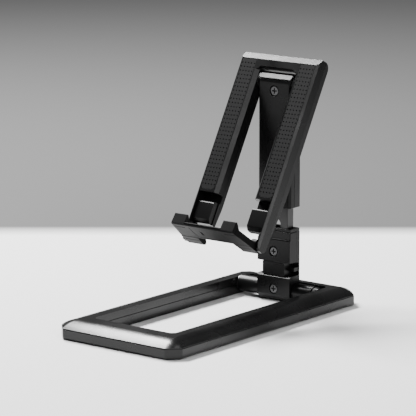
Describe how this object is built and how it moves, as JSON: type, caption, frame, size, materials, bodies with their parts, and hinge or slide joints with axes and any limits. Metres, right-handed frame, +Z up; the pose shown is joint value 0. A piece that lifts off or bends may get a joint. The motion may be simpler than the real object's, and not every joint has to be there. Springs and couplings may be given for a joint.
{
  "type": "phone stand",
  "caption": "Folding desk stand for a phone: ring base, hinged telescopic column, tilting open back plate with grip pads and a fold-out ledge with hooks.",
  "frame": {"origin": "centre of the base's footprint on the desk top", "axes": "+Z up, -Y towards the user (the ledge and pads face -Y), +X to the user's right; the base is longest along Y"},
  "size_m": [0.07, 0.14, 0.1167],
  "materials": {
    "plastic_satin": "satin moulded black ABS",
    "plastic_matte": "fine matte moulded black ABS",
    "bar_black": "black coated flat steel bar",
    "grip_rubber": "dark grey soft rubber with small round dimples",
    "plated_steel": "grey plated fasteners and pins"
  },
  "bodies": {
    "base": {"base_top_shell": "plastic_satin", "base_bottom_shell": "plastic_matte", "base_foot_pads": "grip_rubber", "base_screws": "plated_steel", "base_hinge_pins": "plated_steel", "base_hinge_washers": "plated_steel", "base_friction_nut": "plastic_matte", "base_stop_studs": "plated_steel"},
    "column_lower": {"hinge_knuckle": "plastic_satin", "hinge_block_cover": "plastic_satin", "hinge_block_screw": "plated_steel", "hinge_block_nut": "plated_steel", "sleeve_front_cover": "plastic_satin", "sleeve_top_collar": "plastic_satin", "sleeve_screw": "plated_steel", "sleeve_nut": "plated_steel", "slide_bar": "bar_black"},
    "upper_arm": {"arm_front_shell": "plastic_satin", "arm_rear_shell": "plastic_matte", "arm_clamp_screw": "plated_steel", "arm_clamp_nut": "plated_steel", "arm_slide_spring": "plated_steel"},
    "plate": {"plate_frame": "plastic_satin", "plate_back_cover": "plastic_matte", "plate_back_screws": "plated_steel", "grip_pad_left": "grip_rubber", "grip_pad_right": "grip_rubber", "rest_block_left": "plastic_satin", "rest_block_right": "plastic_satin", "plate_hinge_axle": "plated_steel", "plate_hinge_washers": "plastic_matte", "ledge_hinge_pins": "plated_steel"},
    "ledge": {"ledge": "plastic_satin", "ledge_underside_cover": "plastic_matte", "hook_pad_left": "grip_rubber", "hook_pad_right": "grip_rubber"}
  },
  "joints": [
    {"name": "base_tilt", "type": "hinge", "parent": "base", "child": "column_lower", "pos_m": [0, 0.0525, 0.0055], "axis": [1, 0, 0], "range_deg": [0, 80]},
    {"name": "height", "type": "slide", "parent": "column_lower", "child": "upper_arm", "axis": [0, 0, 1], "range_m": [-0.0095, 0.031]},
    {"name": "plate_tilt", "type": "hinge", "parent": "upper_arm", "child": "plate", "pos_m": [0, 0.05125, 0.1048], "axis": [1, 0, 0], "range_deg": [-60, 29.6]},
    {"name": "ledge_fold", "type": "hinge", "parent": "plate", "child": "ledge", "pos_m": [0, 0.00868, 0.03744], "axis": [1, 0, 0], "range_deg": [-75, 0]}
  ]
}
